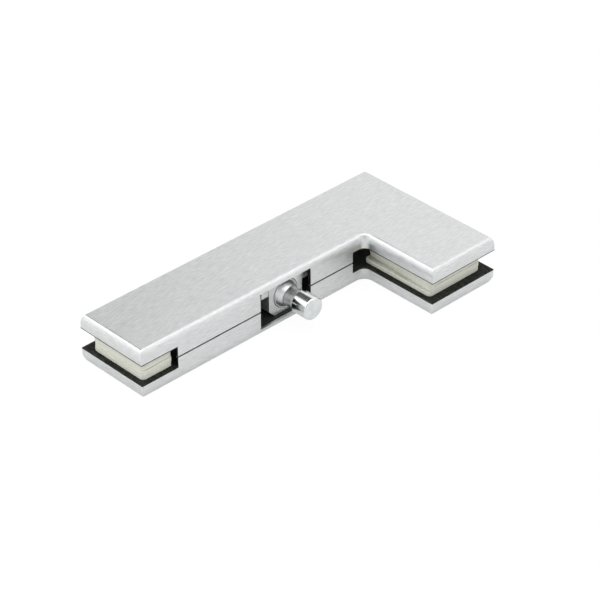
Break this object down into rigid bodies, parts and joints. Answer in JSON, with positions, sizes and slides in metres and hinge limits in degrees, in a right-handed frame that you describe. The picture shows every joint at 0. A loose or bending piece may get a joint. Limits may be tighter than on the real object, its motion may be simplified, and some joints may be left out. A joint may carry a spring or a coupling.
{
  "type": "glass clamp",
  "caption": "L-shaped clamp that joins a fixed glass panel over a door to a fixed side panel and carries the door's pivot pin.",
  "frame": {"origin": "on the pivot pin's axis, in the middle of its bearing length", "axes": "+X along the long arm from its free end to the short arm, -Y the way the pivot pin and the short arm point, +Z square to the glass towards the front cover"},
  "size_m": [0.22, 0.105, 0.031],
  "materials": {
    "cover_metal": "satin, brushed along the long arm",
    "cast_body": "aluminium casting with a matt black coat",
    "gasket": "matt, fine grain",
    "spacer_board": "pressed fibre board, fine layer lines on the edges",
    "bush_plastic": "moulded, matt",
    "carrier_metal": "machined, satin",
    "pin_steel": "turned and zinc-plated, bright",
    "screw_steel": "plain",
    "spring_steel": "rolled strip"
  },
  "bodies": {
    "clamp": {"clamp_screws": "screw_steel", "front_clamp_body": "cast_body", "front_cover": "cover_metal", "front_cover_clips": "spring_steel", "front_gasket": "gasket", "long_arm_spacer_1": "spacer_board", "long_arm_spacer_2": "spacer_board", "long_arm_spacer_3": "spacer_board", "long_arm_spacer_4": "spacer_board", "rear_clamp_body": "cast_body", "rear_cover": "cover_metal", "rear_cover_clips": "spring_steel", "rear_gasket": "gasket", "screw_bushes": "bush_plastic", "short_arm_spacer_1": "spacer_board", "short_arm_spacer_2": "spacer_board", "short_arm_spacer_3": "spacer_board", "short_arm_spacer_4": "spacer_board"},
    "carriage": {"pivot_carrier": "carrier_metal", "pivot_pin": "pin_steel", "pin_washer": "pin_steel", "pin_nut": "pin_steel"}
  },
  "joints": [
    {"name": "pivot_slide", "type": "slide", "parent": "clamp", "child": "carriage", "axis": [-1, 0, 0], "range_m": [0, 0.01]}
  ]
}
